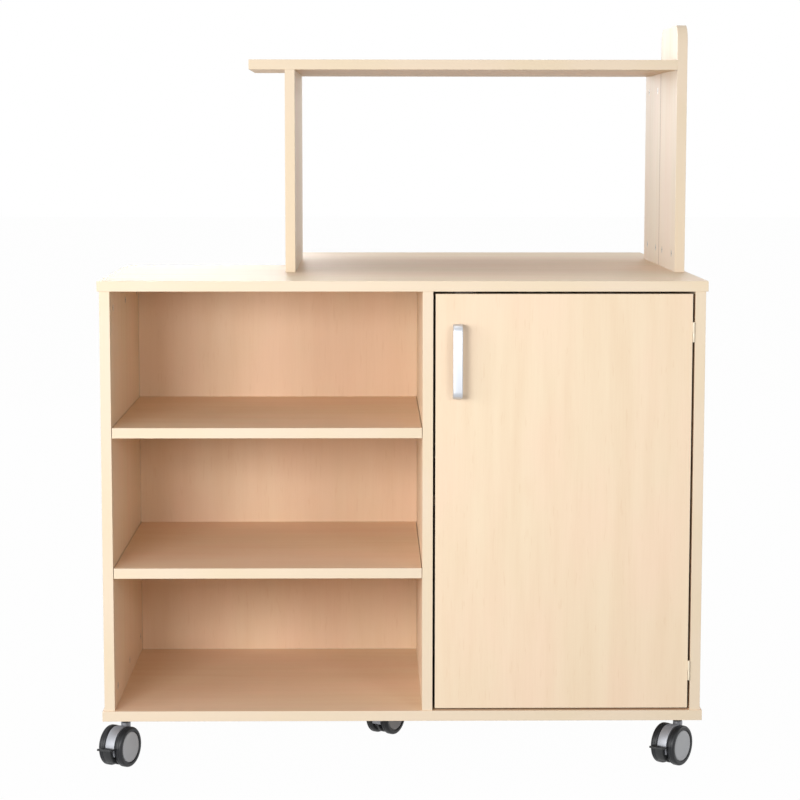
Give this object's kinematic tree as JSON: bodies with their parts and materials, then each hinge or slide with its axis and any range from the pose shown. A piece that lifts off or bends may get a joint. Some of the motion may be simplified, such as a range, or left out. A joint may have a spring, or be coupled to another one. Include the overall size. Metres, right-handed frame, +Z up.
{
  "type": "kitchen cart",
  "caption": "Double-sided maple kitchen cart on braked castors, with an open bay, a door cupboard, an L-shaped worktop and a raised shelf with a tall end panel.",
  "frame": {"origin": "On the floor, under the middle of the whole cart's box at rest", "axes": "+X to the viewer's right along the front, +Y from the front to the rear, +Z up"},
  "size_m": [1.1206, 1.0908, 1.382],
  "materials": {
    "maple_board": "satin maple-faced board",
    "fastener_steel": "zinc plated",
    "castor_steel": "satin chrome",
    "tread": "soft dark grey tread with a grey hub",
    "pedal_plastic": "fine grained",
    "handle_aluminium": "satin anodised",
    "hinge_paint": "cream enamel",
    "catch_plastic": "moulded"
  },
  "bodies": {
    "cart": {"front_worktop": "maple_board", "front_bottom_board": "maple_board", "left_side_panel": "maple_board", "right_side_panel": "maple_board", "divider_panel": "maple_board", "front_back_panel": "maple_board", "upper_bay_shelf": "maple_board", "lower_bay_shelf": "maple_board", "cupboard_shelf": "maple_board", "shelf_pins": "fastener_steel", "cam_locks": "fastener_steel", "cam_bolts": "fastener_steel", "hinge_frame_leaves": "hinge_paint", "hinge_pins": "hinge_paint", "magnet_catch": "catch_plastic", "rear_worktop": "maple_board", "rear_bottom_board": "maple_board", "rear_left_side": "maple_board", "rear_right_side": "maple_board", "rear_back_panel": "maple_board", "rear_upper_shelf": "maple_board", "rear_lower_shelf": "maple_board", "unit_bolts": "fastener_steel", "left_upright_front": "maple_board", "left_upright_rear": "maple_board", "tall_end_panel": "maple_board", "right_upright_rear": "maple_board", "upper_shelf_front": "maple_board", "upper_shelf_rear": "maple_board", "castor_plates": "castor_steel", "kingpins": "castor_steel", "castor_screws": "fastener_steel"},
    "door": {"door": "maple_board", "handle": "handle_aluminium", "handle_screws": "fastener_steel", "hinge_door_leaves": "hinge_paint", "catch_plate": "fastener_steel"},
    "front_left_swivel": {"front_left_hood": "castor_steel"},
    "front_left_left_wheel": {"front_left_left_wheel": "tread"},
    "front_left_right_wheel": {"front_left_right_wheel": "tread"},
    "front_left_pedal": {"front_left_pedal": "pedal_plastic"},
    "front_right_swivel": {"front_right_hood": "castor_steel"},
    "front_right_left_wheel": {"front_right_left_wheel": "tread"},
    "front_right_right_wheel": {"front_right_right_wheel": "tread"},
    "front_right_pedal": {"front_right_pedal": "pedal_plastic"},
    "middle_swivel": {"middle_hood": "castor_steel"},
    "middle_left_wheel": {"middle_left_wheel": "tread"},
    "middle_right_wheel": {"middle_right_wheel": "tread"},
    "inner_left_swivel": {"inner_left_hood": "castor_steel"},
    "inner_left_left_wheel": {"inner_left_left_wheel": "tread"},
    "inner_left_right_wheel": {"inner_left_right_wheel": "tread"},
    "inner_right_swivel": {"inner_right_hood": "castor_steel"},
    "inner_right_left_wheel": {"inner_right_left_wheel": "tread"},
    "inner_right_right_wheel": {"inner_right_right_wheel": "tread"},
    "rear_left_swivel": {"rear_left_hood": "castor_steel"},
    "rear_left_left_wheel": {"rear_left_left_wheel": "tread"},
    "rear_left_right_wheel": {"rear_left_right_wheel": "tread"},
    "rear_right_swivel": {"rear_right_hood": "castor_steel"},
    "rear_right_left_wheel": {"rear_right_left_wheel": "tread"},
    "rear_right_right_wheel": {"rear_right_right_wheel": "tread"}
  },
  "joints": [
    {"name": "door_hinge", "type": "hinge", "parent": "cart", "child": "door", "pos_m": [0.53505, -0.5179, 0.5005], "axis": [0, 0, 1], "range_deg": [0, 170]},
    {"name": "front_left_castor_swivel", "type": "hinge", "parent": "cart", "child": "front_left_swivel", "pos_m": [-0.5127, -0.4624, 0.082], "axis": [0, 0, 1], "continuous": true},
    {"name": "front_left_left_wheel_spin", "type": "hinge", "parent": "front_left_swivel", "child": "front_left_left_wheel", "pos_m": [-0.53741, -0.47371, 0.0375], "axis": [0.8988, -0.4384, 0], "continuous": true},
    {"name": "front_left_right_wheel_spin", "type": "hinge", "parent": "front_left_swivel", "child": "front_left_right_wheel", "pos_m": [-0.5064, -0.48884, 0.0375], "axis": [0.8988, -0.4384, 0], "continuous": true},
    {"name": "front_left_brake_pedal", "type": "hinge", "parent": "front_left_swivel", "child": "front_left_pedal", "pos_m": [-0.5298, -0.49747, 0.02488], "axis": [0.8988, -0.4384, 0], "range_deg": [0, 12]},
    {"name": "front_right_castor_swivel", "type": "hinge", "parent": "cart", "child": "front_right_swivel", "pos_m": [0.5233, -0.4624, 0.082], "axis": [0, 0, 1], "continuous": true},
    {"name": "front_right_left_wheel_spin", "type": "hinge", "parent": "front_right_swivel", "child": "front_right_left_wheel", "pos_m": [0.49678, -0.46833, 0.0375], "axis": [0.788, -0.6157, 0], "continuous": true},
    {"name": "front_right_right_wheel_spin", "type": "hinge", "parent": "front_right_swivel", "child": "front_right_right_wheel", "pos_m": [0.52397, -0.48957, 0.0375], "axis": [0.788, -0.6157, 0], "continuous": true},
    {"name": "front_right_brake_pedal", "type": "hinge", "parent": "front_right_swivel", "child": "front_right_pedal", "pos_m": [0.49928, -0.49315, 0.02488], "axis": [0.788, -0.6157, 0], "range_deg": [0, 12]},
    {"name": "middle_castor_swivel", "type": "hinge", "parent": "cart", "child": "middle_swivel", "pos_m": [-0.0127, -0.2294, 0.082], "axis": [0, 0, 1], "continuous": true},
    {"name": "middle_left_wheel_spin", "type": "hinge", "parent": "middle_swivel", "child": "middle_left_wheel", "pos_m": [-0.03846, -0.23807, 0.0375], "axis": [0.848, -0.5299, 0], "continuous": true},
    {"name": "middle_right_wheel_spin", "type": "hinge", "parent": "middle_swivel", "child": "middle_right_wheel", "pos_m": [-0.0092, -0.25635, 0.0375], "axis": [0.848, -0.5299, 0], "continuous": true},
    {"name": "inner_left_castor_swivel", "type": "hinge", "parent": "cart", "child": "inner_left_swivel", "pos_m": [-0.5127, -0.0424, 0.082], "axis": [0, 0, 1], "continuous": true},
    {"name": "inner_left_left_wheel_spin", "type": "hinge", "parent": "inner_left_swivel", "child": "inner_left_left_wheel", "pos_m": [-0.53741, -0.05371, 0.0375], "axis": [0.8988, -0.4384, 0], "continuous": true},
    {"name": "inner_left_right_wheel_spin", "type": "hinge", "parent": "inner_left_swivel", "child": "inner_left_right_wheel", "pos_m": [-0.5064, -0.06884, 0.0375], "axis": [0.8988, -0.4384, 0], "continuous": true},
    {"name": "inner_right_castor_swivel", "type": "hinge", "parent": "cart", "child": "inner_right_swivel", "pos_m": [0.5233, -0.0424, 0.082], "axis": [0, 0, 1], "continuous": true},
    {"name": "inner_right_left_wheel_spin", "type": "hinge", "parent": "inner_right_swivel", "child": "inner_right_left_wheel", "pos_m": [0.49678, -0.04833, 0.0375], "axis": [0.788, -0.6157, 0], "continuous": true},
    {"name": "inner_right_right_wheel_spin", "type": "hinge", "parent": "inner_right_swivel", "child": "inner_right_right_wheel", "pos_m": [0.52397, -0.06957, 0.0375], "axis": [0.788, -0.6157, 0], "continuous": true},
    {"name": "rear_left_castor_swivel", "type": "hinge", "parent": "cart", "child": "rear_left_swivel", "pos_m": [-0.1847, 0.4884, 0.082], "axis": [0, 0, 1], "continuous": true},
    {"name": "rear_left_left_wheel_spin", "type": "hinge", "parent": "rear_left_swivel", "child": "rear_left_left_wheel", "pos_m": [-0.21122, 0.48247, 0.0375], "axis": [0.788, -0.6157, 0], "continuous": true},
    {"name": "rear_left_right_wheel_spin", "type": "hinge", "parent": "rear_left_swivel", "child": "rear_left_right_wheel", "pos_m": [-0.18404, 0.46123, 0.0375], "axis": [0.788, -0.6157, 0], "continuous": true},
    {"name": "rear_right_castor_swivel", "type": "hinge", "parent": "cart", "child": "rear_right_swivel", "pos_m": [0.5233, 0.4884, 0.082], "axis": [0, 0, 1], "continuous": true},
    {"name": "rear_right_left_wheel_spin", "type": "hinge", "parent": "rear_right_swivel", "child": "rear_right_left_wheel", "pos_m": [0.49859, 0.47709, 0.0375], "axis": [0.8988, -0.4384, 0], "continuous": true},
    {"name": "rear_right_right_wheel_spin", "type": "hinge", "parent": "rear_right_swivel", "child": "rear_right_right_wheel", "pos_m": [0.5296, 0.46196, 0.0375], "axis": [0.8988, -0.4384, 0], "continuous": true}
  ]
}
